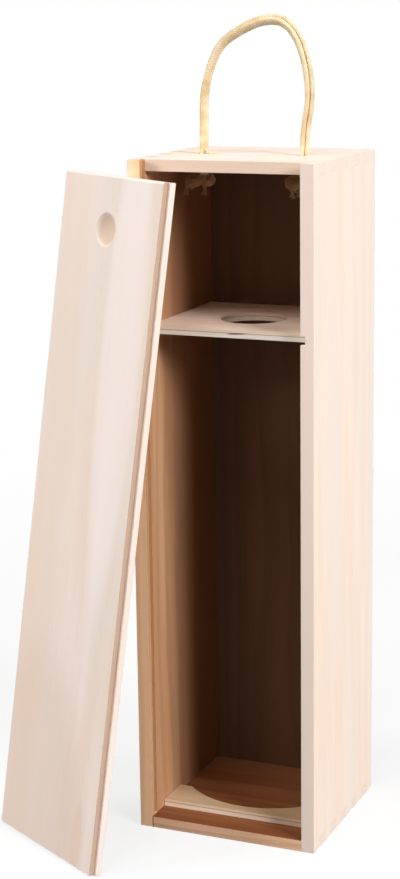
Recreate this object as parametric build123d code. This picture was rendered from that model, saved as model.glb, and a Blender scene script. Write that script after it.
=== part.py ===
from build123d import *
import math
import os

# A wooden wine box that stands upright, with its lid drawn out of the grooves and leaning against the box's
# front left edge. Millimetres, +Z up, -Y to the front, origin at the centre of the base's underside.

# carcass
box_width = 100.0
box_depth = 96.0
box_height = 360.0
side_thickness = 7.0
end_thickness = 6.0
finger_count = 11  # sections of the corner joints over the depth, odd ones on the side panels

# grooves that the lid slides in, along the front of both side panels
groove_lip = 3.0
groove_width = 3.7
groove_depth = 2.0

# back panel, glued into rabbets all round
back_thickness = 4.0
side_rabbet = 3.5
end_rabbet = 3.0

# lid: a raised face with a thin tongue along each long edge
lid_step = 2.8
lid_face_clearance = 0.3
tongue_side_clearance = 0.5
tongue_clearance = 0.2
lid_proud = 1.0  # the closed lid ends this far above the box
lid_top_chamfer = 1.0
recess_diameter = 17.5
recess_depth = 2.6
recess_below_top = 27.5
recess_from_middle = -2.0

# how the lid leans
lid_yaw = -29.6
lid_lean = 8.45
lid_turn = 0.68  # in the lid's own plane, so that it stands on its right corner
lid_touch_from_middle = 6.6  # where the box's edge meets the lid, across the lid
lid_gap = 0.35

# neck board, a loose shelf in two dadoes that are open to the front
ply_thickness = 4.0
dado_depth = 2.5
dado_clearance = 0.3
neck_board_height = 270.7
neck_board_setback = 7.6
neck_hole_diameter = 34.7
neck_hole_y = -1.8

# base cradle, glued to the bottom end panel
cradle_clearance = 0.3
cradle_setback = 15.8
cradle_depth = 21.2
cradle_margin = 6.1
cradle_radius = 49.0

# rope handle
rope_diameter = 4.6
rope_hole_diameter = 6.0
rope_hole_spacing = 55.0
knot_diameter = 12.5
knot_height = 11.0
knot_round = 3.8
knot_drop = 5.0  # from the top end panel's underside
tail_length = 11.0
tail_angle = 62.0
tail_round = 0.6
rope_route = [
    (-27.8, 0.0, 349.0),
    (-27.8, 0.0, 374.2),
    (-27.3, 0.0, 394.5),
    (-19.6, 0.0, 414.9),
    (-7.4, 0.0, 423.0),
    (6.4, 0.0, 428.6),
    (18.9, 0.0, 427.3),
    (27.8, 0.0, 413.3),
    (31.6, 0.0, 390.0),
    (27.6, 0.0, 370.5),
    (27.6, 0.0, 349.0),
]

inner_half_width = box_width / 2 - side_thickness
front = -box_depth / 2
back = box_depth / 2
underside_of_top = box_height - end_thickness
finger_depth = box_depth / finger_count
groove_back = front + groove_lip + groove_width
inner_back = back - back_thickness
tongue_thickness = groove_width - 2 * tongue_clearance
lid_thickness = lid_step + tongue_thickness
lid_face_width = 2 * (inner_half_width - lid_face_clearance)
lid_width = 2 * (inner_half_width + groove_depth - tongue_side_clearance)
lid_length = box_height - end_thickness + lid_proud


def block(x, y, z):
    """A box between the given pairs of limits."""
    size = [high - low for low, high in (x, y, z)]
    middle = [(low + high) / 2 for low, high in (x, y, z)]
    return Pos(*middle) * Box(*size)


def fingers(z):
    """The end panels' through fingers: the even sections over the depth."""
    cells = []
    for number in range(1, finger_count, 2):
        start = front + number * finger_depth
        cells.append(block((-box_width / 2, box_width / 2), (start, start + finger_depth), z))
    return Compound(cells)


def back_board():
    half_width = inner_half_width + side_rabbet
    low = end_thickness - end_rabbet
    return block((-half_width, half_width), (inner_back, back), (low, box_height - low))


def side_panel(side):
    outer = side * box_width / 2
    inner = side * inner_half_width
    panel = block(sorted((outer, inner)), (front, back), (0, box_height))
    panel -= fingers((0, end_thickness))
    panel -= fingers((underside_of_top, box_height))
    groove_x = sorted((inner, inner + side * groove_depth))
    panel -= block(groove_x, (front + groove_lip, groove_back), (end_thickness, box_height))
    dado_x = sorted((inner, inner + side * dado_depth))
    dado_z = (neck_board_height - dado_clearance, neck_board_height + ply_thickness + dado_clearance)
    panel -= block(dado_x, (front, inner_back), dado_z)
    return panel - back_board()


def end_panel(z, board_front):
    panel = block((-inner_half_width, inner_half_width), (board_front, back), z)
    return panel + fingers(z) - back_board()


def top_panel():
    panel = end_panel((underside_of_top, box_height), groove_back)
    for side in (-1, 1):
        x = side * rope_hole_spacing / 2
        hole = Cylinder(rope_hole_diameter / 2, 3 * end_thickness)
        panel -= Pos(x, 0, box_height) * hole
    return panel


def leaning(lid):
    """Turns a lid that stands with its inner face on the XZ plane, and leans it against the box's edge."""
    yaw = math.radians(lid_yaw)
    across = Vector(math.cos(yaw), math.sin(yaw), 0)
    towards_box = Vector(-math.sin(yaw), math.cos(yaw), 0)
    edge = Vector(-box_width / 2, front, 0)
    lift = lid_width / 2 * math.sin(math.radians(lid_turn))
    reach = (lid_length + lift) * math.sin(math.radians(lid_lean)) + lid_gap
    foot = edge - towards_box * reach - across * lid_touch_from_middle
    turned = Pos(0, 0, lift) * Rot(0, lid_turn, 0) * lid
    return Pos(foot) * Rot(0, 0, lid_yaw) * Rot(-lid_lean, 0, 0) * turned


def lid():
    half_face = lid_face_width / 2
    face = block((-half_face, half_face), (-lid_thickness, 0), (0, lid_length))
    top_edge = face.edges().filter_by(Axis.X).sort_by(Axis.Z)[-2:].sort_by(Axis.Y)[0]
    face = chamfer(top_edge, lid_top_chamfer)
    tongue = block((-lid_width / 2, lid_width / 2), (-tongue_thickness, 0), (0, lid_length))
    half = recess_diameter / 2
    dish_radius = (half**2 + recess_depth**2) / (2 * recess_depth)
    dish_y = -lid_thickness + recess_depth - dish_radius
    dish = Pos(recess_from_middle, dish_y, lid_length - recess_below_top) * Sphere(dish_radius)
    return leaning(face + tongue - dish)


def neck_board():
    half_width = inner_half_width + dado_depth - dado_clearance
    z = (neck_board_height, neck_board_height + ply_thickness)
    board = block((-half_width, half_width), (front + neck_board_setback, inner_back - dado_clearance), z)
    hole = Cylinder(neck_hole_diameter / 2, 3 * ply_thickness)
    return board - Pos(0, neck_hole_y, neck_board_height) * hole


def cradle():
    half_width = inner_half_width - cradle_clearance
    cradle_front = front + cradle_setback
    z = (end_thickness, end_thickness + ply_thickness)
    board = block((-half_width, half_width), (cradle_front, cradle_front + cradle_depth), z)
    arc = Cylinder(cradle_radius, 3 * ply_thickness)
    return board - Pos(0, cradle_front + cradle_margin + cradle_radius, end_thickness) * arc


def rope():
    points = [Vector(*point) for point in rope_route]
    runs = [end - start for start, end in zip(points, points[1:])]
    radii = []
    for first, second in zip(runs, runs[1:]):
        half_turn = math.radians(first.get_angle(second)) / 2
        radii.append(0.45 * min(first.length, second.length) / math.tan(half_turn))
    path = FilletPolyline(*points, radius=radii)
    print("rope runs", [round(run.length, 1) for run in runs])
    print("rope radii", [round(radius, 1) for radius in radii])
    section = Plane(origin=path @ 0, z_dir=path % 0) * Circle(rope_diameter / 2)
    tube = sweep(section, path=path)
    print("rope length", round(path.length, 1), "section times length", round(section.area * path.length, 1))
    print("rope volume", round(tube.volume, 1))
    return tube


def knot(x, tail_side):
    """A drawn-up overhand knot with its tail, under the top end panel."""
    top = underside_of_top - knot_drop
    body = Cylinder(knot_diameter / 2, knot_height)
    body = fillet(body.edges().filter_by(GeomType.CIRCLE), knot_round)
    tail = Cylinder(rope_diameter / 2, tail_length, align=(Align.CENTER, Align.CENTER, Align.MIN))
    tail = fillet(tail.edges().filter_by(GeomType.CIRCLE), tail_round)
    tail = Rot(0, tail_side * (180 - tail_angle), 0) * tail
    return Pos(x, 0, top - knot_height / 2) * (body + tail)


nodes = {
    "left_side_panel": side_panel(-1),
    "right_side_panel": side_panel(1),
    "top_end_panel": top_panel(),
    "bottom_end_panel": end_panel((0, end_thickness), front),
    "back_panel": back_board(),
    "sliding_lid": lid(),
    "neck_board": neck_board(),
    "base_cradle": cradle(),
    "rope_handle": rope(),
    "left_knot": knot(rope_route[0][0], -1),
    "right_knot": knot(rope_route[-1][0], -1),
}

os.makedirs("parts", exist_ok=True)
for name, shape in nodes.items():
    export_step(shape, f"parts/{name}.step")
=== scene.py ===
# A wooden wine box with its sliding lid leaning against it, a neck board inside and a rope handle on top.
# Metres, +Z up, -Y to the front, origin at the centre of the base's underside.
import bpy
import bmesh
import math
from mathutils import Matrix, Vector


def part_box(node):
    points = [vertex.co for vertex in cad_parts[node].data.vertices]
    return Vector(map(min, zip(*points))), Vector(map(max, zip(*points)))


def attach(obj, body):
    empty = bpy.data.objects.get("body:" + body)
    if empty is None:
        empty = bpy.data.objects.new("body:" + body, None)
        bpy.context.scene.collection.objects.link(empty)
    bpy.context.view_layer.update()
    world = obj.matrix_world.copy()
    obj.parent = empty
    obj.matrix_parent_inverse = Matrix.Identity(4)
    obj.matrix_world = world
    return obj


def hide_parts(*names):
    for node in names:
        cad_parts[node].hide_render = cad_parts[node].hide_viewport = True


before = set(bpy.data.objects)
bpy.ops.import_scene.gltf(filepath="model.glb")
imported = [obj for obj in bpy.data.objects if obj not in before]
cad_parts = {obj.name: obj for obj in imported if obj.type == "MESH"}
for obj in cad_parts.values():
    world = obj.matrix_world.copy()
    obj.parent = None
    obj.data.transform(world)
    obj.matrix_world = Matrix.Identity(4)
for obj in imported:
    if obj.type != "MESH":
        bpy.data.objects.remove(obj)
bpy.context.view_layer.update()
print("stage: frame loaded,", len(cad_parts), "nodes")

mm = 0.001

# node settings that recur
add = {"operation": "ADD"}
subtract = {"operation": "SUBTRACT"}
multiply = {"operation": "MULTIPLY"}
multiplyAdd = {"operation": "MULTIPLY_ADD"}
divide = {"operation": "DIVIDE"}
scale = {"operation": "SCALE"}
absolute = {"operation": "ABSOLUTE"}
lessThan = {"operation": "LESS_THAN"}
greaterThan = {"operation": "GREATER_THAN"}
maximum = {"operation": "MAXIMUM"}
colours = {"data_type": "RGBA"}
under, over = 6, 7  # the Mix node's colours: its factor, input 0, lays the second over the first


def linearColour(hexText):
    channels = [int(hexText[i:i + 2], 16) / 255 for i in (0, 2, 4)]
    return [c / 12.92 if c <= 0.04045 else ((c + 0.055) / 1.055) ** 2.4 for c in channels] + [1.0]


def setStops(colourRamp, stops):
    while len(colourRamp.elements) < len(stops):
        colourRamp.elements.new(1.0)
    for element, (place, level) in zip(colourRamp.elements, stops):
        element.position, element.color = place, (level, level, level, 1.0)


def addNode(tree, kind, settings=None, inputs=()):
    # an input is a socket, a node whose output in use goes in, a hex colour or a plain value
    node = tree.nodes.new(kind)
    for name, value in (settings or {}).items():
        if name == "stops":
            setStops(node.color_ramp, value)
        elif name == "ease":
            node.color_ramp.interpolation = value
        else:
            setattr(node, name, value)
    for socket, value in inputs.items() if isinstance(inputs, dict) else enumerate(inputs):
        if isinstance(value, bpy.types.Node):
            value = next(output for output in value.outputs if output.enabled)
        if isinstance(value, bpy.types.NodeSocket):
            tree.links.new(value, node.inputs[socket])
        else:
            node.inputs[socket].default_value = linearColour(value) if isinstance(value, str) else value
    return node


def newMaterial(name):
    material = bpy.data.materials.new(name)
    material.use_nodes = True
    material.node_tree.nodes.clear()
    return material, material.node_tree


def finishMaterial(tree, look, colour, bump):
    shader = addNode(tree, "ShaderNodeBsdfPrincipled", None, {
        "Base Color": colour, "Roughness": look["roughness"], "Normal": bump, "IOR": 1.5,
        "Specular IOR Level": look["specular"], "Sheen Weight": look["sheen"]})
    addNode(tree, "ShaderNodeOutputMaterial", None, {"Surface": shader})


camera = {
    "azimuth": 23.268,
    "elevation": 12.892,
    "roll": -0.793,
    "position": (0.37018, -0.9364, 0.43981),
    "focalPixels": 1935.387,
    "framePixels": 879,
    "sensor": 36.0,
    "nearest": 0.05,
}


def makeCamera(look):
    azimuth, elevation, roll = (math.radians(look[key]) for key in ("azimuth", "elevation", "roll"))
    forward = Vector((-math.sin(azimuth) * math.cos(elevation), math.cos(azimuth) * math.cos(elevation),
                      -math.sin(elevation)))
    level = Vector((math.cos(azimuth), math.sin(azimuth), 0.0))
    upright = level.cross(forward)
    right = math.cos(roll) * level + math.sin(roll) * upright
    up = math.cos(roll) * upright - math.sin(roll) * level
    data = bpy.data.cameras.new("camera")
    data.sensor_fit = "AUTO"
    data.sensor_width = look["sensor"]
    data.lens = look["focalPixels"] / look["framePixels"] * look["sensor"]
    data.clip_start = look["nearest"]
    camObject = bpy.data.objects.new("camera", data)
    bpy.context.scene.collection.objects.link(camObject)
    turn = Matrix((right, up, -forward)).transposed().to_4x4()
    camObject.matrix_world = Matrix.Translation(look["position"]) @ turn
    bpy.context.scene.camera = camObject


makeCamera(camera)
print("stage: camera")


# Paulownia, planed and left raw: very pale, dull, with wide soft growth bands and long fine pores.
paulownia = {
    "cream": "F7E6D9",
    "pink": "F4DFD0",
    "grey": "F0E2D6",
    "band": "EBD3C0",
    "pore": "D9BDA6",
    "endGrain": "F3E2D5",
    "endPore": "D9BDA6",
    "ringWidth": 6.5,      # mm between growth bands
    "ringStrength": 0.42,
    "ringOffFibre": 0.65,  # share of that strength between the fibres
    "ringOnFibre": 0.7,    # added to it on them
    "ringRamp": {"stops": [(0.0, 0.15), (0.45, 0.3), (0.86, 1.0), (1.0, 0.15)], "ease": "B_SPLINE"},
    "warp": 7.0,           # mm that the bands wander
    "warpAcross": 34.0,
    "warpAlong": 210.0,
    "tintWidth": 15.0,     # mm of the drift from pink to cream
    "tintLength": 170.0,
    "tintRamp": {"stops": [(0.38, 0.0), (0.62, 1.0)], "ease": "EASE"},
    "patchWidth": 31.5,    # mm of the greyer patches
    "patchLength": 221.0,
    "patchRamp": {"stops": [(0.45, 0.0), (0.65, 1.0)], "ease": "EASE"},
    "fibreWidth": 1.1,     # mm, coarser than the real fibres so that they show
    "fibreLength": 46.0,
    "fibreRamp": {"stops": [(0.35, 0.0), (0.7, 1.0)]},
    "poreWidth": 0.55,
    "poreLength": 13.0,
    "poreRamp": {"stops": [(0.6, 0.0), (0.78, 1.0)]},
    "poreAmount": 0.12,
    "poreInBand": 0.25,    # added to it where a band is darkest
    "poreHeight": -0.8,    # beside the fibres' own height, which is 1
    "endPoreWidth": 0.7,
    "endPoreRamp": {"stops": [(0.4, 0.0), (0.7, 0.3)]},
    "endBand": 0.12,       # how much of the bands shows in the end grain
    "edgeBand": 0.45,      # in a long edge
    "outsideBand": 0.4,    # and in a sanded outer face
    "roughness": 0.68,
    "specular": 0.35,
    "sheen": 0.0,
    "bump": 0.05,          # mm
    "bumpStrength": 0.6,
    "softEdge": 0.35,      # mm by which the edges look rounded
}

# A calm board of the same wood for the lid, with bands 10 to 20 mm wide.
calmPaulownia = dict(paulownia, cream="F3E3DA", pink="EFDBCC", grey="ECDDD2", band="E2CCBB", pore="D3B9A4",
                     ringWidth=11.0, ringStrength=0.3, tintWidth=19.0, patchWidth=39.9)

# The same wood from nearer the heart: warmer, with browner bands and a stronger figure; on the left panel's
# inner face this warmth also stands in part for painted warm bounce light and shade inside the box.
heartPaulownia = dict(paulownia, cream="D3A37D", pink="C8966F", grey="C19472", band="A3744B", pore="7E5232",
                      endGrain="E9CDB4", ringStrength=0.6)
# painted shade: a darkened copy of the wood for the back panel's inner face, standing for the unlit inside of
# the box
shadedPaulownia = dict(heartPaulownia, cream="6E4E35", pink="66482F", grey="624732", band="4F3320")
# A redder board for the bottom; its dark faces are partly painted shade on the floor of the box, while its
# front edge and ends keep paler tones.
redPaulownia = dict(heartPaulownia, cream="9A633A", pink="864C27", grey="8C5A36", band="7A4224",
                    pore="6A3C22", endGrain="F0DDCE", ringWidth=4.4, ringStrength=0.85)

# Poplar three-ply: rotary-cut faces with a broad wavy figure, and pale edges with one thin dark glue line.
poplarPly = {
    "face": "F8E4D4",
    "faceDark": "EFD8C4",
    "fibre": "CDAE8E",
    "edgeUpper": "F6E2CB",
    "edgeLower": "FBF2E6",
    "glueLine": "A98260",
    "gap": "5A3E2A",
    "lineLevel": 2.5,      # mm above the underside
    "lineWidth": 0.35,
    "lineAmount": 0.8,
    "figureWidth": 16.0,
    "figureLength": 90.0,
    "figureRamp": {"stops": [(0.35, 0.0), (0.7, 1.0)], "ease": "EASE"},
    "fibreWidth": 0.9,     # mm, coarser than the real fibres so that they show
    "fibreLength": 24.0,
    "fibreRamp": {"stops": [(0.4, 0.0), (0.75, 1.0)]},
    "faceFibre": 0.4,      # how much the fibres show in the faces
    "edgeFibre": 0.3,      # and in the edges
    "roughness": 0.62,
    "specular": 0.35,
    "sheen": 0.0,
    "bump": 0.05,
    "bumpStrength": 0.5,
    "softEdge": 0.2,
}

# The same ply from a yellower sheet, for the cradle.
yellowPly = dict(poplarPly, face="DDBF9C", faceDark="CDAB84", edgeUpper="F5DDC0", edgeLower="FFF0DC")


def grainCoordinates(tree, centre, rotation):
    # millimetres in the board's own frame, with Z along the grain
    place = addNode(tree, "ShaderNodeTexCoord").outputs["Object"]
    return addNode(tree, "ShaderNodeMapping", {"vector_type": "TEXTURE"}, {
        "Vector": place, "Location": centre, "Rotation": rotation, "Scale": (mm, mm, mm)})


def drawnOutPattern(tree, place, width, length, detail, roughness=0.5):
    # soft random streaks of this width across the grain and this length along it
    stretched = addNode(tree, "ShaderNodeVectorMath", divide, [place, (width, width, length)])
    return addNode(tree, "ShaderNodeTexNoise", None, {
        "Vector": stretched, "Scale": 1.0, "Detail": detail, "Roughness": roughness})


def facing(tree, direction, start=0.6, end=0.8):
    # 1 where the surface looks along the direction or against it
    normal = addNode(tree, "ShaderNodeTexCoord").outputs["Normal"]
    dot = addNode(tree, "ShaderNodeVectorMath", {"operation": "DOT_PRODUCT"}, [normal, direction])
    size = addNode(tree, "ShaderNodeMath", absolute, [dot])
    return addNode(tree, "ShaderNodeValToRGB", {"stops": [(start, 0.0), (end, 1.0)]}, [size])


def ellipseReach(tree, offX, offZ, halfWidth, halfLength):
    # 0 in the ellipse's middle and 1 on its rim
    x = addNode(tree, "ShaderNodeMath", divide, [offX, halfWidth])
    z = addNode(tree, "ShaderNodeMath", divide, [offZ, halfLength])
    square = addNode(tree, "ShaderNodeMath", multiply, [z, z])
    return addNode(tree, "ShaderNodeMath", multiplyAdd, [x, x, square])


def growthBands(tree, board, place):
    # rings round the pith that wander a little; the fibres follow the same bent place
    look, shift, pith = board["look"], board["shift"], board["pith"]
    wander = drawnOutPattern(tree, place, look["warpAcross"], look["warpAlong"], detail=2.0).outputs["Color"]
    wander = addNode(tree, "ShaderNodeVectorMath", subtract, [wander, (0.5, 0.5, 0.5)])
    wander = addNode(tree, "ShaderNodeVectorMath", scale, {0: wander, "Scale": 2 * look["warp"]})
    bent = addNode(tree, "ShaderNodeVectorMath", add, [place, wander])
    middle = (pith[0] + shift, pith[1] + shift, 0.0)
    fromPith = addNode(tree, "ShaderNodeVectorMath", subtract, [bent, middle])
    flat = addNode(tree, "ShaderNodeVectorMath", multiply, [fromPith, (1, 1, 0)])
    radius = addNode(tree, "ShaderNodeVectorMath", {"operation": "LENGTH"}, [flat])
    rings = addNode(tree, "ShaderNodeMath", divide, [radius, look["ringWidth"]])
    ring = addNode(tree, "ShaderNodeMath", {"operation": "FRACT"}, [rings])
    band = addNode(tree, "ShaderNodeValToRGB", look["ringRamp"], [ring])
    return bent, band


def groundColour(tree, look, place, bent):
    # the wood between the bands drifts from cream to pink, with greyer patches
    tint = drawnOutPattern(tree, place, look["tintWidth"], look["tintLength"], detail=2.0)
    tint = addNode(tree, "ShaderNodeValToRGB", look["tintRamp"], [tint])
    ground = addNode(tree, "ShaderNodeMix", colours, {0: tint, under: look["pink"], over: look["cream"]})
    patch = drawnOutPattern(tree, bent, look["patchWidth"], look["patchLength"], detail=1.0)
    patch = addNode(tree, "ShaderNodeValToRGB", look["patchRamp"], [patch])
    return addNode(tree, "ShaderNodeMix", colours, {0: patch, under: ground, over: look["grey"]})


def bandedTone(tree, board, bands, tone, amount):
    # a plain tone through which the growth bands show by the named amount
    look = board["look"]
    faint = addNode(tree, "ShaderNodeMath", multiply, [bands, look[amount]])
    return addNode(tree, "ShaderNodeMix", colours, {0: faint, under: tone, over: look["band"]})


def paintEdge(tree, board, own, bands, colour):
    # a long edge of the board shows another tone than its faces; on the lid's step beside the tongue this
    # tone is painted shade, and on the top board's front edge it is partly painted shade
    direction, tone, within = board["edge"]
    edgeTone = bandedTone(tree, board, bands, tone, "edgeBand")
    offMiddle = addNode(tree, "ShaderNodeMath", absolute, [own["X"]])
    inner = addNode(tree, "ShaderNodeMath", lessThan, [offMiddle, within])
    amount = addNode(tree, "ShaderNodeMath", multiply, [facing(tree, direction, start=0.88, end=0.94), inner])
    return addNode(tree, "ShaderNodeMix", colours, {0: amount, under: colour, over: edgeTone})


def paintSpots(tree, board, own, bands, colour):
    # stains and paler patches in the wood, and painted shade in the lid's finger recess and over its lower
    # part; they fade out towards their rims
    for x, z, halfWidth, halfLength, tone, amount in board["spots"]:
        fade = {"stops": [(0.45, amount), (1.0, 0.0)], "ease": "EASE"}
        offX = addNode(tree, "ShaderNodeMath", subtract, [own["X"], x])
        offZ = addNode(tree, "ShaderNodeMath", subtract, [own["Z"], z])
        reach = ellipseReach(tree, offX, offZ, halfWidth, halfLength)
        soft = addNode(tree, "ShaderNodeValToRGB", fade, [reach])
        colour = addNode(tree, "ShaderNodeMix", colours, {0: soft, under: colour, over: tone})
    return colour


def paintOutside(tree, board, own, bands, colour):
    # the outer face keeps a paler tone than the inner one; the inner face's darker tone is painted shade from
    # inside the box, on the left panel only in part
    axisName, sign, limit, tone = board["outside"]
    outwards = addNode(tree, "ShaderNodeMath", multiply, [own[axisName], sign])
    outer = addNode(tree, "ShaderNodeMath", greaterThan, [outwards, limit])
    sanded = bandedTone(tree, board, bands, tone, "outsideBand")
    return addNode(tree, "ShaderNodeMix", colours, {0: outer, under: colour, over: sanded})


def paintGrooveShade(tree, board, own, bands, colour):
    # painted shade: the groove is darkened to stand for the shade inside it
    start, end, limit, tone = board["groove"]
    behind = addNode(tree, "ShaderNodeMath", greaterThan, [own["Y"], start])
    before = addNode(tree, "ShaderNodeMath", lessThan, [own["Y"], end])
    within = addNode(tree, "ShaderNodeMath", multiply, [behind, before])
    inner = addNode(tree, "ShaderNodeMath", greaterThan, [own["X"], limit])
    cut = addNode(tree, "ShaderNodeMath", multiply, [within, inner])
    return addNode(tree, "ShaderNodeMix", colours, {0: cut, under: colour, over: tone})


def paintDeepShade(tree, board, own, bands, colour):
    # painted shade: the inner face darkens towards the back, standing for the shade deep inside the box
    start, end, limit, tone, amount = board["deep"]
    depth = addNode(tree, "ShaderNodeMapRange", None, {
        "Value": own["Y"], "From Min": start, "From Max": end, "To Max": amount})
    inner = addNode(tree, "ShaderNodeMath", greaterThan, [own["X"], limit])
    amount = addNode(tree, "ShaderNodeMath", multiply, [depth, inner])
    return addNode(tree, "ShaderNodeMix", colours, {0: amount, under: colour, over: tone})


def paintSeam(tree, board, own, bands, colour):
    # the open glue line of a corner joint, on the front edge of a board whose grain runs across the box
    place, halfWidth, tone = board["seam"]
    offset = addNode(tree, "ShaderNodeMath", subtract, [own["Z"], place])
    offset = addNode(tree, "ShaderNodeMath", absolute, [offset])
    onSeam = addNode(tree, "ShaderNodeMath", lessThan, [offset, halfWidth])
    amount = addNode(tree, "ShaderNodeMath", multiply, [onSeam, facing(tree, frontEdge)])
    return addNode(tree, "ShaderNodeMix", colours, {0: amount, under: colour, over: tone})


def paintEndGrain(tree, board, place, band, colour):
    # end grain soaks up light: darker, with dots for the cut pores
    look = board["look"]
    poreTone = look["endPore"]
    dots = drawnOutPattern(tree, place, look["endPoreWidth"], look["endPoreWidth"], detail=2.0)
    dots = addNode(tree, "ShaderNodeValToRGB", look["endPoreRamp"], [dots])
    tone = addNode(tree, "ShaderNodeMix", colours, {0: dots, under: look["endGrain"], over: poreTone})
    faint = addNode(tree, "ShaderNodeMath", multiply, [band, look["endBand"]])
    tone = addNode(tree, "ShaderNodeMix", colours, {0: faint, under: tone, over: poreTone})
    atEnd = facing(tree, board["axis"])
    return addNode(tree, "ShaderNodeMix", colours, {0: atEnd, under: colour, over: tone})


def finishWood(tree, look, colour, height):
    softened = addNode(tree, "ShaderNodeBevel", {"samples": 4}, {"Radius": look["softEdge"] * mm})
    bump = addNode(tree, "ShaderNodeBump", None, {
        "Height": height, "Normal": softened,
        "Strength": look["bumpStrength"], "Distance": look["bump"] * mm})
    finishMaterial(tree, look, colour, bump)


def woodMaterial(name, board, centre):
    look, shift = board["look"], board["shift"]
    material, tree = newMaterial(name)
    grain = grainCoordinates(tree, centre, board["rotation"])
    own = addNode(tree, "ShaderNodeSeparateXYZ", None, [grain]).outputs
    place = addNode(tree, "ShaderNodeVectorMath", add, [grain, (shift, shift, shift)])
    bent, band = growthBands(tree, board, place)
    colour = groundColour(tree, look, place, bent)

    fibre = drawnOutPattern(tree, bent, look["fibreWidth"], look["fibreLength"], detail=3.0, roughness=0.6)
    fibre = addNode(tree, "ShaderNodeValToRGB", look["fibreRamp"], [fibre])
    bands = addNode(tree, "ShaderNodeMath", multiply, [band, look["ringStrength"]])
    uneven = addNode(tree, "ShaderNodeMath", multiplyAdd, [fibre, look["ringOnFibre"], look["ringOffFibre"]])
    bands = addNode(tree, "ShaderNodeMath", multiply, [bands, uneven])
    colour = addNode(tree, "ShaderNodeMix", colours, {0: bands, under: colour, over: look["band"]})

    pores = drawnOutPattern(tree, place, look["poreWidth"], look["poreLength"], detail=1.0)
    pores = addNode(tree, "ShaderNodeValToRGB", look["poreRamp"], [pores])
    amount = addNode(tree, "ShaderNodeMath", multiplyAdd, [band, look["poreInBand"], look["poreAmount"]])
    amount = addNode(tree, "ShaderNodeMath", multiply, [pores, amount])
    colour = addNode(tree, "ShaderNodeMix", colours, {0: amount, under: colour, over: look["pore"]})

    marks = {"edge": paintEdge, "spots": paintSpots, "outside": paintOutside, "groove": paintGrooveShade,
             "deep": paintDeepShade, "seam": paintSeam}
    for mark, paint in marks.items():
        if mark in board:
            colour = paint(tree, board, own, bands, colour)
    colour = paintEndGrain(tree, board, place, band, colour)

    hollow = addNode(tree, "ShaderNodeMath", multiply, [pores, look["poreHeight"]])
    height = addNode(tree, "ShaderNodeMath", add, [fibre, hollow])
    finishWood(tree, look, colour, height)
    return material


def splitInEdge(tree, board, own):
    # a sliver where the plies have come apart, on the front edge
    middle, level, halfLength, halfHeight, slope = board["split"]
    along = addNode(tree, "ShaderNodeMath", subtract, [own["X"], middle])
    tilted = addNode(tree, "ShaderNodeMath", multiplyAdd, [along, slope, level])
    rise = addNode(tree, "ShaderNodeMath", subtract, [own["Z"], tilted])
    reach = ellipseReach(tree, along, rise, halfLength, halfHeight)
    inside = addNode(tree, "ShaderNodeValToRGB", {"stops": [(0.4, 1.0), (1.0, 0.0)]}, [reach])
    inFront = addNode(tree, "ShaderNodeMath", lessThan, [own["Y"], 0.0])
    return addNode(tree, "ShaderNodeMath", multiply, [inside, inFront])


def plyMaterial(name, board, centre):
    look, shift = board["look"], board["shift"]
    material, tree = newMaterial(name)
    place = grainCoordinates(tree, centre, (0, 0, 0))
    own = addNode(tree, "ShaderNodeSeparateXYZ", None, [place]).outputs
    turned = addNode(tree, "ShaderNodeMapping", None, {
        "Vector": place, "Location": (shift, shift, 0), "Rotation": alongX})
    broad = drawnOutPattern(tree, turned, look["figureWidth"], look["figureLength"], detail=2.0)
    broad = addNode(tree, "ShaderNodeValToRGB", look["figureRamp"], [broad])
    fine = drawnOutPattern(tree, turned, look["fibreWidth"], look["fibreLength"], detail=3.0, roughness=0.6)
    fibre = addNode(tree, "ShaderNodeValToRGB", look["fibreRamp"], [fine])

    face = addNode(tree, "ShaderNodeMix", colours, {0: broad, under: look["face"], over: look["faceDark"]})
    faint = addNode(tree, "ShaderNodeMath", multiply, [fibre, look["faceFibre"]])
    face = addNode(tree, "ShaderNodeMix", colours, {0: faint, under: face, over: look["fibre"]})

    upper = addNode(tree, "ShaderNodeMath", greaterThan, [own["Z"], look["lineLevel"]])
    edge = addNode(tree, "ShaderNodeMix", colours, {
        0: upper, under: look["edgeLower"], over: look["edgeUpper"]})
    faint = addNode(tree, "ShaderNodeMath", multiply, [fibre, look["edgeFibre"]])
    edge = addNode(tree, "ShaderNodeMix", colours, {0: faint, under: edge, over: look["fibre"]})
    fromLine = addNode(tree, "ShaderNodeMath", subtract, [own["Z"], look["lineLevel"]])
    fromLine = addNode(tree, "ShaderNodeMath", absolute, [fromLine])
    onLine = addNode(tree, "ShaderNodeMath", lessThan, [fromLine, look["lineWidth"] / 2])
    onLine = addNode(tree, "ShaderNodeMath", multiply, [onLine, look["lineAmount"]])
    edge = addNode(tree, "ShaderNodeMix", colours, {0: onLine, under: edge, over: look["glueLine"]})
    if "split" in board:
        split = splitInEdge(tree, board, own)
        edge = addNode(tree, "ShaderNodeMix", colours, {0: split, under: edge, over: look["gap"]})

    onFace = facing(tree, (0, 0, 1))
    colour = addNode(tree, "ShaderNodeMix", colours, {0: onFace, under: edge, over: face})
    finishWood(tree, look, colour, fine)
    return material


# how the lid stands: it leans back, faces left of the front and stands on its right corner
leaningLid = {
    "yaw": -29.6,
    "lean": 8.45,
    "turn": 0.68,
    "length": 355.0,         # mm
    "width": 89.0,
    "edge": (-50.0, -48.0),  # the box's edge that it leans on
    "touchFromMiddle": 6.6,
    "gap": 0.35,
}


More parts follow.
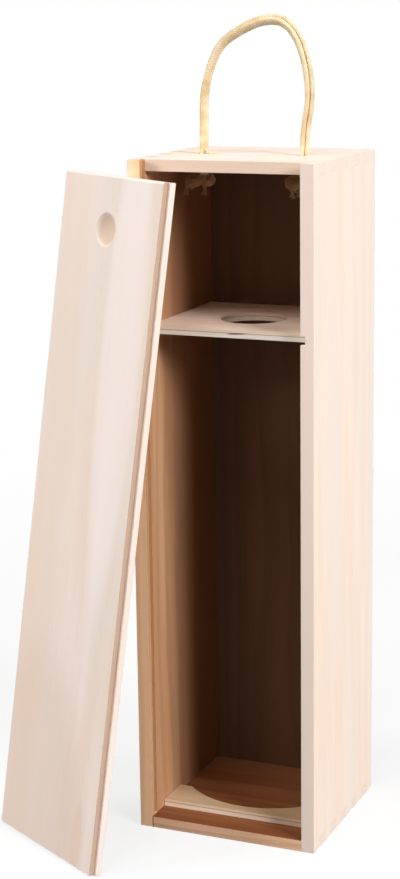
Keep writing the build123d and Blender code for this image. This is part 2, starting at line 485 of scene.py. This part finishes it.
def lidMatrix(look):
    # from millimetres on the upright lid, whose inner face is the XZ plane, to where it stands
    yaw, lean, turn = (math.radians(look[key]) for key in ("yaw", "lean", "turn"))
    lift = look["width"] / 2 * math.sin(turn)
    reach = (look["length"] + lift) * math.sin(lean) + look["gap"]
    across = Vector((math.cos(yaw), math.sin(yaw), 0))
    towardsBox = Vector((-math.sin(yaw), math.cos(yaw), 0))
    foot = Vector((*look["edge"], 0)) - towardsBox * reach - across * look["touchFromMiddle"]
    return (Matrix.Translation(foot) @ Matrix.Rotation(yaw, 4, "Z") @ Matrix.Rotation(-lean, 4, "X")
            @ Matrix.Translation((0, 0, lift)) @ Matrix.Rotation(turn, 4, "Y"))


lidPlace = lidMatrix(leaningLid)
lidAxes = lidPlace.to_3x3()
alongX = (0, math.radians(90), 0)
frontEdge = (0, 1, 0)
wholeEdge = 999.0
upright = {"rotation": (0, 0, 0), "axis": (0, 0, 1)}
acrossBox = {"rotation": alongX, "axis": (1, 0, 0)}

# All in mm from the board's middle, X across it, Y through it and Z along its grain.
#   shift    which part of the tree the board is cut from
#   pith     where the tree's middle lies, so that the bands curve round it
#   edge     direction, tone, how far from the middle it reaches
#   outside  axis, side, how far out it begins, tone
#   groove   painted shade in the groove: from and to in Y, how far out it begins, tone
#   deep     painted shade towards the back: from and to in Y, how far out it begins, tone, amount
#   seam     place, half width, tone
#   spots    X, Z, half width, half length, tone, amount
boards = {
    "left_side_panel": dict(
        upright, look=heartPaulownia, shift=130, pith=(-70, 30), edge=(frontEdge, "FFD0A6", wholeEdge),
        # painted shade: the groove tone darkens the groove behind the front lip
        outside=("X", -1, 3.4, "EFD3B8"), groove=(-45.05, -41.2, 1.2, "C89A6E"),
        # painted shade: the deep tone darkens the inner face towards the back
        deep=(-30.0, 14.0, 3.3, "7A4C2B", 0.85), spots=[(-2.8, 174.0, 3.4, 16.0, "EDD3BC", 0.65)]),
    "right_side_panel": dict(
        upright, look=paulownia, shift=0, pith=(85, -22), edge=(frontEdge, "E5D2C4", wholeEdge)),
    # painted shade on the inner face; the outer face keeps the pale wood
    "back_panel": dict(
        upright, look=shadedPaulownia, shift=410, pith=(12, -60), outside=("Y", 1, 1.9, "F2DECE")),
    # partly painted shade: the top board's front edge is darker than its faces, as a front-facing edge that
    # gets less light
    "top_end_panel": dict(
        acrossBox, look=paulownia, shift=270, pith=(60, -20), edge=(frontEdge, "DEC3AE", wholeEdge)),
    "bottom_end_panel": dict(
        acrossBox, look=redPaulownia, shift=555, pith=(55, 25), edge=(frontEdge, "EDBE9A", wholeEdge),
        seam=(-43.0, 0.5, "5E3A22")),
    "sliding_lid": {
        "rotation": tuple(lidAxes.to_euler("XYZ")),
        "axis": tuple(lidAxes.col[2]),
        "centre": tuple(lidPlace @ Vector((0, 0, leaningLid["length"] / 2)) * mm),
        "look": calmPaulownia,
        "shift": 690,
        "pith": (-24, 72),
        # painted shade: the step beside the tongue is darkened as it lies in the tongue's shadow; the
        # tongue's own edge is not
        "edge": (tuple(lidAxes.col[0]), "BFA08A", 43.6),
        "spots": [
            # painted shade: the finger recess below is darkened to stand for the shade in its hollow
            (-2.0, 150.0, 8.9, 8.9, "D6B69C", 0.75),  # the finger recess
            (28.0, -164.0, 5.0, 24.0, "E6C6AC", 0.45),
            # painted shade: the next spot darkens the lower part of the lid, where the light falls off
            # towards its foot
            (-20.0, -200.0, 60.0, 150.0, "DDC6B6", 0.5),
            (-34.0, 0.0, 24.0, 260.0, "E8D0BB", 0.3),
            (22.0, 90.0, 19.5, 150.0, "F9EDE7", 0.6),
        ],
    },
}
# split: X, height, half length, half height, slope
plyBoards = {
    "neck_board": {"look": poplarPly, "shift": 40, "split": (5.8, 2.3, 5.9, 0.42, 0.055)},
    "base_cradle": {"look": yellowPly, "shift": 90},
}


def dressBoards():
    materials = {}
    for node, board in boards.items():
        low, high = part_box(node)
        centre = board.get("centre", tuple((low + high) / 2))
        materials[node] = woodMaterial("raw_paulownia_" + node, board, centre)
    for node, board in plyBoards.items():
        low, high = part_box(node)
        centre = ((low.x + high.x) / 2, (low.y + high.y) / 2, low.z)
        materials[node] = plyMaterial("poplar_ply_" + node, board, centre)
    for node, material in materials.items():
        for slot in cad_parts[node].material_slots:
            slot.material = material


dressBoards()
print("stage: wood")


# Soft cotton rope of two flat strands that lie side by side and hardly turn round each other.
rope = {
    "route": [
        (-0.0278, 0.0, 0.349),
        (-0.0278, 0.0, 0.3742),
        (-0.0273, 0.0, 0.3945),
        (-0.0196, 0.0, 0.4149),
        (-0.0074, 0.0, 0.423),
        (0.0064, 0.0, 0.4286),
        (0.0189, 0.0, 0.4273),
        (0.0278, 0.0, 0.4133),
        (0.0316, 0.0, 0.39),
        (0.0276, 0.0, 0.3705),
        (0.0276, 0.0, 0.349),
    ],
    "diameter": 0.0046,
    # share of the length, and the way from one strand to the other there in degrees
    "turns": [(0.0, 200), (0.22, 198), (0.36, 206), (0.5, 218),
              (0.6, 230), (0.7, 240), (0.85, 248), (1.0, 250)],
    "strandHalfDepth": 1.3 * mm,
    "strandHalfWidth": 2.2 * mm,
    "strandOffset": 1.2 * mm,
    "yarns": 6,
    "yarnLay": 9.0 * mm,
    "yarnDepth": 0.018,
    "step": 0.4 * mm,
    "sides": 28,
}

# Cotton, twisted and undyed: cream with golden fibres, shaded where the yarns meet, dull, with a soft fuzz.
cottonLook = {
    "cream": "EBD8B4",
    "gold": "D8BD90",
    "groove": "9E7A48",
    "grooveAmount": 0.5,
    "grooveRamp": {"stops": [(0.0, 0.0), (0.38, 0.1), (0.5, 1.0), (0.62, 0.1), (1.0, 0.0)], "ease": "EASE"},
    "grooveHeight": -0.4,
    "hairs": 2600.0,       # per metre, so 0.4 mm wide: coarser than the real ones so that they show
    "hairAmount": 0.2,
    "hairRamp": {"stops": [(0.45, 0.0), (0.7, 1.0)]},
    "drift": 150.0,        # golden patches per metre
    "driftRamp": {"stops": [(0.4, 0.0), (0.65, 1.0)]},
    "roughness": 0.75,
    "specular": 0.25,
    "sheen": 0.3,
    "bump": 0.08,          # mm
    "bumpStrength": 0.3,
}

# painted shade: the knots and their frayed tails inside the box take a darker copy of the cotton, standing
# for the shade under the top board.
shadedCottonLook = dict(cottonLook, cream="A98E68", gold="967A55", groove="6E5130")

squareness = 0.8  # strands that press on each other are a little squarer than an ellipse, which is 1
bluntness = 0.6   # how much of one step's thickness is left where a strand grows thin


def routeCurve(name, points):
    data = bpy.data.curves.new(name, "CURVE")
    data.dimensions = "3D"
    data.resolution_u = 40
    spline = data.splines.new("NURBS")
    spline.points.add(len(points) - 1)
    for point, place in zip(spline.points, points):
        point.co = (*place, 1.0)
    spline.order_u = 3
    spline.use_endpoint_u = True
    return data


def centreline(name, points, step):
    # evenly spaced points along the route's own spline
    data = routeCurve(name + "_route", points)
    holder = bpy.data.objects.new(name + "_route", data)
    bpy.context.scene.collection.objects.link(holder)
    bpy.context.view_layer.update()
    mesh = bpy.data.meshes.new_from_object(holder.evaluated_get(bpy.context.evaluated_depsgraph_get()))
    line = [v.co.copy() for v in mesh.vertices]
    bpy.data.objects.remove(holder)
    bpy.data.meshes.remove(mesh)
    reach = [0.0]
    for start, end in zip(line, line[1:]):
        reach.append(reach[-1] + (end - start).length)
    count = max(8, round(reach[-1] / step))
    even, place = [], 0
    for number in range(count + 1):
        wanted = reach[-1] * number / count
        while place < len(line) - 2 and reach[place + 1] < wanted:
            place += 1
        share = (wanted - reach[place]) / max(1e-9, reach[place + 1] - reach[place])
        even.append(line[place].lerp(line[place + 1], min(1.0, share)))
    return even, reach[-1]


def sideAxes(line):
    # a side and an up vector for each point, carried along without twist
    side = Vector((0, 1, 0))
    result = []
    for number in range(len(line)):
        ahead = (line[min(number + 1, len(line) - 1)] - line[max(number - 1, 0)]).normalized()
        side = (side - ahead * side.dot(ahead)).normalized()
        result.append((side, ahead.cross(side)))
    return result


def addStrand(bm, uvLayer, line, axes, look):
    # one flat strand along the line; its UV runs round and along in millimetres
    rings = []
    along = 0.0
    sides, taper = look["sides"], look.get("taper", 0)
    for number, (point, (first, second)) in enumerate(zip(line, axes)):
        if number:
            along += (point - line[number - 1]).length
        end = min(1.0, (len(line) - 1 - number + bluntness) / taper) if taper else 1.0
        ring = []
        for k in range(sides):
            angle = 2 * math.pi * k / sides
            cosine, sine = math.cos(angle), math.sin(angle)
            across = math.copysign(abs(cosine) ** squareness, cosine) * look["strandHalfDepth"]
            sideways = math.copysign(abs(sine) ** squareness, sine) * look["strandHalfWidth"]
            twist = angle - 2 * math.pi * along / look["yarnLay"]
            size = end * (1 + look["yarnDepth"] * math.cos(look["yarns"] * twist))
            ring.append(bm.verts.new(point + size * (across * first + sideways * second)))
        rings.append((ring, along))
    for (start, startLength), (finish, finishLength) in zip(rings, rings[1:]):
        for k in range(sides):
            nextK = (k + 1) % sides
            face = bm.faces.new((start[k], start[nextK], finish[nextK], finish[k]))
            face.smooth = True
            corners = ((k, startLength), (k + 1, startLength), (k + 1, finishLength), (k, finishLength))
            for loop, (u, v) in zip(face.loops, corners):
                loop[uvLayer].uv = (u / sides, v / mm)
    bm.faces.new(list(reversed(rings[0][0])))
    bm.faces.new(rings[-1][0])


def addPair(bm, uvLayer, line, look, turnAt):
    # two strands on opposite sides of the line, turned as the function says
    axes = sideAxes(line)
    for strand in range(2):
        path, sections = [], []
        for number, (point, (side, up)) in enumerate(zip(line, axes)):
            turn = turnAt(number / (len(line) - 1)) + math.pi * strand
            outwards = math.cos(turn) * side + math.sin(turn) * up
            path.append(point + look["strandOffset"] * outwards)
            sections.append((outwards, math.cos(turn) * up - math.sin(turn) * side))
        addStrand(bm, uvLayer, path, sections, look)


def meshObject(name, bm, material):
    bmesh.ops.recalc_face_normals(bm, faces=bm.faces)
    mesh = bpy.data.meshes.new(name)
    bm.to_mesh(mesh)
    bm.free()
    mesh.materials.append(material)
    piece = bpy.data.objects.new(name, mesh)
    bpy.context.scene.collection.objects.link(piece)
    return piece


def cottonMaterial(name, look):
    material, tree = newMaterial(name)
    uv = addNode(tree, "ShaderNodeTexCoord").outputs["UV"]
    place = addNode(tree, "ShaderNodeTexCoord").outputs["Object"]
    split = addNode(tree, "ShaderNodeSeparateXYZ", None, [uv]).outputs
    perLength = rope["yarns"] * mm / rope["yarnLay"]
    lengthways = addNode(tree, "ShaderNodeMath", multiply, [split["Y"], perLength])
    around = addNode(tree, "ShaderNodeMath", multiply, [split["X"], rope["yarns"]])
    spiral = addNode(tree, "ShaderNodeMath", subtract, [around, lengthways])
    spiral = addNode(tree, "ShaderNodeMath", {"operation": "FRACT"}, [spiral])
    groove = addNode(tree, "ShaderNodeValToRGB", look["grooveRamp"], [spiral])

    hairs = addNode(tree, "ShaderNodeTexNoise", None, {
        "Vector": place, "Scale": look["hairs"], "Detail": 2.0})
    drift = addNode(tree, "ShaderNodeTexNoise", None, {
        "Vector": place, "Scale": look["drift"], "Detail": 1.0})
    golden = addNode(tree, "ShaderNodeValToRGB", look["driftRamp"], [drift])
    colour = addNode(tree, "ShaderNodeMix", colours, {0: golden, under: look["cream"], over: look["gold"]})
    fuzz = addNode(tree, "ShaderNodeValToRGB", look["hairRamp"], [hairs])
    fuzz = addNode(tree, "ShaderNodeMath", multiply, [fuzz, look["hairAmount"]])
    colour = addNode(tree, "ShaderNodeMix", colours, {0: fuzz, under: colour, over: look["gold"]})
    shade = addNode(tree, "ShaderNodeMath", multiply, [groove, look["grooveAmount"]])
    colour = addNode(tree, "ShaderNodeMix", colours, {0: shade, under: colour, over: look["groove"]})

    height = addNode(tree, "ShaderNodeMath", multiplyAdd, [groove, look["grooveHeight"], hairs])
    bump = addNode(tree, "ShaderNodeBump", None, {
        "Height": height, "Strength": look["bumpStrength"], "Distance": look["bump"] * mm})
    finishMaterial(tree, look, colour, bump)
    return material


cotton = cottonMaterial("twisted_cotton_rope", cottonLook)
shadedCotton = cottonMaterial("shaded_cotton_rope", shadedCottonLook)


def ropeTurn(share):
    # radians from the table of turns, eased between its entries
    for (start, first), (end, second) in zip(rope["turns"], rope["turns"][1:]):
        if share <= end:
            part = (share - start) / (end - start)
            return math.radians(first + (second - first) * part * part * (3 - 2 * part))
    return math.radians(rope["turns"][-1][1])


# yarns that have come loose where the left leg of the rope meets the board; the routes in mm
looseYarns = {
    "routes": [
        [(-27.4, -1.8, 362.6), (-25.6, -2.6, 362.0), (-23.6, -2.8, 360.5), (-21.2, -2.2, 360.5),
         (-19.4, -1.2, 360.9)],
        [(-28.8, -1.9, 362.0), (-30.2, -2.8, 361.2), (-31.2, -2.6, 360.5), (-31.8, -1.6, 360.6)],
        [(-27.0, -1.9, 363.0), (-24.9, -3.2, 362.6), (-24.3, -3.4, 361.0), (-25.6, -3.6, 360.5)],
    ],
    "strandHalfDepth": 0.42 * mm,
    "strandHalfWidth": 0.5 * mm,
    "yarns": 2,
    "yarnLay": 3.0 * mm,
    "yarnDepth": 0.08,
    "step": 0.3 * mm,
    "sides": 10,
    "taper": 5,            # steps over which an end grows thin
}


def makeRopeHandle():
    line, length = centreline("rope_handle", rope["route"], rope["step"])
    bm = bmesh.new()
    uvLayer = bm.loops.layers.uv.new("UVMap")
    addPair(bm, uvLayer, line, rope, ropeTurn)
    piece = meshObject("twisted_rope_handle", bm, cotton)
    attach(piece, "box")
    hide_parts("rope_handle")
    print("rope handle", round(length, 4))
    return piece, line, length


def makeLooseYarns():
    bm = bmesh.new()
    uvLayer = bm.loops.layers.uv.new("UVMap")
    for yarn in looseYarns["routes"]:
        path, _ = centreline("loose_yarn", [Vector(p) * mm for p in yarn], looseYarns["step"])
        addStrand(bm, uvLayer, path, sideAxes(path), looseYarns)
    piece = meshObject("loose_yarns", bm, cotton)
    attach(piece, "box")
    return piece


ropeHandle, ropeLine, ropeLength = makeRopeHandle()
looseYarnPiece = makeLooseYarns()

# Overhand knots, drawn up under the top board. Two cut strands hang from each, with frayed ends.
knotRope = {
    "strandHalfDepth": 1.1 * mm,
    "strandHalfWidth": 1.85 * mm,
    "strandOffset": 1.0 * mm,
    "lay": 60 * mm,
    "yarns": 6,
    "yarnLay": 9.0 * mm,
    "yarnDepth": 0.03,
    "step": 0.45 * mm,
    "sides": 20,
}
tailStrand = dict(knotRope, strandHalfDepth=0.8 * mm, strandHalfWidth=1.1 * mm, yarns=4, yarnDepth=0.06,
                  sides=14, taper=4)
fray = {"Yarns": 26, "Length": 3.6 * mm, "Spread": 0.9 * mm, "Bend": 1.3 * mm, "Thickness": 0.13 * mm}
frayYarn = {
    "bendAt": 0.55,    # share of the length at which a yarn bends aside
    "shortest": 0.55,  # share of the longest yarn's length
    "lean": 0.35,      # radians
    "uneven": 0.2,     # how far the yarns start above or below one another, as a share of the spread
    "steps": 6,        # along a yarn and round it
}
frayOverlap = 3  # points of a tail's path that its brush of yarns starts before the end
knots = {
    "left_overhand_knot": {
        "node": "left_knot",
        "seed": 3,
        "route": [(-27.8, 0, 350.5), (-27.8, 0, 346.5), (-24.3, -1.6, 344.6), (-24.1, 1.4, 347.4),
                  (-29.2, 3.4, 348.0), (-35.2, 2.2, 347.4), (-37.4, -1.2, 345.4), (-34.1, -3.4, 344.2),
                  (-29.7, -3.2, 345.6), (-30.3, 0.8, 346.4), (-34.3, 1.6, 344.0), (-36.5, 0.0, 342.6)],
        "tails": [[(-35.9, 0.0, 343.4), (-37.7, -0.6, 342.6), (-38.0, -0.8, 341.2), (-37.4, -0.8, 340.4)],
                  [(-28.3, -1.2, 344.6), (-26.7, -1.8, 342.6), (-26.8, -2.2, 341.4), (-27.1, -2.4, 340.6)]],
    },
    "right_overhand_knot": {
        "node": "right_knot",
        "seed": 8,
        "route": [(27.6, 0, 350.5), (27.6, 0, 346.8), (31.2, -1.2, 344.8), (31.4, 1.8, 347.2),
                  (26.2, 3.4, 348.2), (20.2, 2.0, 347.6), (18.9, -1.2, 345.6), (22.0, -3.4, 344.4),
                  (26.2, -3.0, 345.8), (25.4, 0.8, 345.6), (23.0, 1.0, 343.2), (22.2, 0.0, 341.6)],
        "tails": [[(22.4, 0.0, 342.8), (21.2, -0.8, 342.0), (21.4, -1.0, 341.2), (21.8, -1.2, 340.6)],
                  [(24.6, 0.4, 343.6), (25.4, -0.4, 342.4), (25.6, -0.6, 341.4), (25.4, -0.6, 340.8)]],
    },
}


def frayTree():
    # a brush of cut yarns that hangs from a tail's end; its sizes are named inputs
    tree = bpy.data.node_groups.new("frayed_yarns", "GeometryNodeTree")
    sockets = {"Yarns": "Int", "Length": "Float", "Spread": "Float", "Bend": "Float", "Thickness": "Float",
               "Seed": "Int", "Place": "Vector", "Material": "Material"}
    for name, kind in sockets.items():
        tree.interface.new_socket(name, in_out="INPUT", socket_type="NodeSocket" + kind)
    tree.interface.new_socket("Geometry", in_out="OUTPUT", socket_type="NodeSocketGeometry")
    given = addNode(tree, "NodeGroupInput").outputs

    # one yarn: it hangs down and bends aside
    drop = addNode(tree, "ShaderNodeMath", multiply, [given["Length"], -1.0])
    drop = addNode(tree, "ShaderNodeCombineXYZ", None, {"Z": drop})
    aside = addNode(tree, "ShaderNodeCombineXYZ", None, {"X": given["Bend"]})
    tip = addNode(tree, "ShaderNodeVectorMath", add, [drop, aside])
    halfway = addNode(tree, "ShaderNodeMath", multiply, [given["Length"], -frayYarn["bendAt"]])
    halfway = addNode(tree, "ShaderNodeCombineXYZ", None, {"Z": halfway})
    yarn = addNode(tree, "GeometryNodeCurveQuadraticBezier", None, {
        "Resolution": frayYarn["steps"], "Start": (0, 0, 0), "Middle": halfway, "End": tip})
    section = addNode(tree, "GeometryNodeCurvePrimitiveCircle", None, {
        "Resolution": frayYarn["steps"], "Radius": given["Thickness"]})
    thread = addNode(tree, "GeometryNodeCurveToMesh", None, {
        "Curve": yarn, "Profile Curve": section, "Fill Caps": True})

    # many of them, scattered, turned and cut to uneven lengths
    vectors = {"data_type": "FLOAT_VECTOR"}
    uneven, lean = frayYarn["uneven"], frayYarn["lean"]
    scatter = addNode(tree, "FunctionNodeRandomValue", vectors, {
        "Min": (-1, -1, -uneven), "Max": (1, 1, uneven), "Seed": given["Seed"]})
    scatter = addNode(tree, "ShaderNodeVectorMath", scale, {0: scatter, "Scale": given["Spread"]})
    starts = addNode(tree, "ShaderNodeVectorMath", add, [scatter, given["Place"]])
    points = addNode(tree, "GeometryNodePoints", None, {"Count": given["Yarns"], "Position": starts})
    spin = addNode(tree, "FunctionNodeRandomValue", vectors, {
        "Min": (-lean, -lean, 0), "Max": (lean, lean, 2 * math.pi), "Seed": given["Seed"]})
    length = addNode(tree, "FunctionNodeRandomValue", {"data_type": "FLOAT"}, {
        2: frayYarn["shortest"], 3: 1.0, "Seed": given["Seed"]})
    brush = addNode(tree, "GeometryNodeInstanceOnPoints", None, {
        "Points": points, "Instance": thread, "Rotation": spin, "Scale": length})
    whole = addNode(tree, "GeometryNodeRealizeInstances", None, [brush])
    coloured = addNode(tree, "GeometryNodeSetMaterial", None, {
        "Geometry": whole, "Material": given["Material"]})
    addNode(tree, "NodeGroupOutput", None, {"Geometry": coloured})
    return tree


def addFray(bm, tree, place, seed):
    holder = bpy.data.objects.new("fray", bpy.data.meshes.new("fray"))
    bpy.context.scene.collection.objects.link(holder)
    modifier = holder.modifiers.new("fray", "NODES")
    modifier.node_group = tree
    values = dict(fray, Seed=seed, Place=place, Material=shadedCotton)
    for item in tree.interface.items_tree:
        if item.in_out == "INPUT":
            modifier[item.identifier] = values[item.name]
    mesh = bpy.data.meshes.new_from_object(holder.evaluated_get(bpy.context.evaluated_depsgraph_get()))
    bm.from_mesh(mesh)
    bpy.data.objects.remove(holder)
    bpy.data.meshes.remove(mesh)


def makeKnot(name, knot, tree):
    bm = bmesh.new()
    uvLayer = bm.loops.layers.uv.new("UVMap")
    line, length = centreline(name, [Vector(p) * mm for p in knot["route"]], knotRope["step"])
    addPair(bm, uvLayer, line, knotRope, lambda share: 2 * math.pi * share * length / knotRope["lay"])
    for number, tail in enumerate(knot["tails"]):
        path, _ = centreline(name, [Vector(p) * mm for p in tail], knotRope["step"])
        addStrand(bm, uvLayer, path, sideAxes(path), tailStrand)
        addFray(bm, tree, path[-frayOverlap], knot["seed"] + number)
    piece = meshObject(name, bm, shadedCotton)
    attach(piece, "box")
    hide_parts(knot["node"])
    return piece


yarnBrush = frayTree()
knotPieces = [makeKnot(name, knot, yarnBrush) for name, knot in knots.items()]
print("stage: rope")


studio = {
    "floorSize": 8.0,
    "floorDrop": 0.0002,       # the floor lies this far under the box, so that the two don't share a plane
    "floorColour": "767676",
    "floorLift": 0.78,
    "floorFade": (0.35, 0.9),  # metres from the box over which the floor turns to plain white
    "worldStrength": 0.03,
    # place, what it is turned to, side of its square, watts
    "lamps": {
        "right_softbox": ((2.585, -1.26, 1.6), (0, 0, 0.2), 1.2, 100),
        "rear_softbox": ((2.7, 0.57, 1.8), (0, 0, 0.2), 1.0, 26),
        "left_softbox": ((-1.24, -0.96, 0.92), (-0.06, -0.06, 0.2), 0.62, 20.5),
        "top_softbox": ((0.1, 0.5, 1.8), (0, 0, 0.3), 0.9, 2.5),
        "front_softbox": ((-0.1, -1.8, 3.3), (0, 0, 0.2), 1.3, 44),
    },
}


def seenRays(tree):
    # 1 for what the camera sees, straight, in a reflection or through something clear
    path = addNode(tree, "ShaderNodeLightPath").outputs
    seen = addNode(tree, "ShaderNodeMath", maximum, [path["Is Camera Ray"], path["Is Glossy Ray"]])
    return addNode(tree, "ShaderNodeMath", maximum, [seen, path["Is Transmission Ray"]])


def makeFloor():
    half = studio["floorSize"] / 2
    corners = ((-half, -half), (half, -half), (half, half), (-half, half))
    bm = bmesh.new()
    bm.faces.new([bm.verts.new((x, y, -studio["floorDrop"])) for x, y in corners])
    material, tree = newMaterial("pale_floor")
    seen = seenRays(tree)
    diffuse = addNode(tree, "ShaderNodeBsdfDiffuse", None, {"Color": studio["floorColour"]})
    lift = addNode(tree, "ShaderNodeMath", multiply, [seen, studio["floorLift"]])
    lift = addNode(tree, "ShaderNodeEmission", None, {"Strength": lift})
    near = addNode(tree, "ShaderNodeAddShader", None, [diffuse, lift])
    place = addNode(tree, "ShaderNodeTexCoord").outputs["Object"]
    distance = addNode(tree, "ShaderNodeVectorMath", {"operation": "LENGTH"}, [place])
    start, end = studio["floorFade"]
    away = addNode(tree, "ShaderNodeMapRange", {"interpolation_type": "SMOOTHSTEP"}, {
        "Value": distance, "From Min": start, "From Max": end})
    white = addNode(tree, "ShaderNodeEmission", None, {"Strength": seen})
    total = addNode(tree, "ShaderNodeMixShader", None, [away, near, white])
    addNode(tree, "ShaderNodeOutputMaterial", None, {"Surface": total})
    meshObject("studio_floor", bm, material)


def makeLamps():
    for name, (place, aim, size, watts) in studio["lamps"].items():
        data = bpy.data.lights.new(name, "AREA")
        data.shape = "SQUARE"
        data.size = size
        data.energy = watts
        lampObject = bpy.data.objects.new(name, data)
        bpy.context.scene.collection.objects.link(lampObject)
        turn = (Vector(aim) - Vector(place)).to_track_quat("-Z", "Y")
        lampObject.matrix_world = Matrix.Translation(place) @ turn.to_matrix().to_4x4()


def makeWorld():
    world = bpy.data.worlds.new("studio_world")
    world.use_nodes = True
    tree = world.node_tree
    tree.nodes.clear()
    strength = addNode(tree, "ShaderNodeMath", maximum, [seenRays(tree), studio["worldStrength"]])
    sky = addNode(tree, "ShaderNodeBackground", None, {"Color": "FFFFFF", "Strength": strength})
    addNode(tree, "ShaderNodeOutputWorld", None, {"Surface": sky})
    bpy.context.scene.world = world


makeFloor()
makeLamps()
makeWorld()
bpy.context.scene.view_settings.view_transform = "Standard"
print("stage: studio")
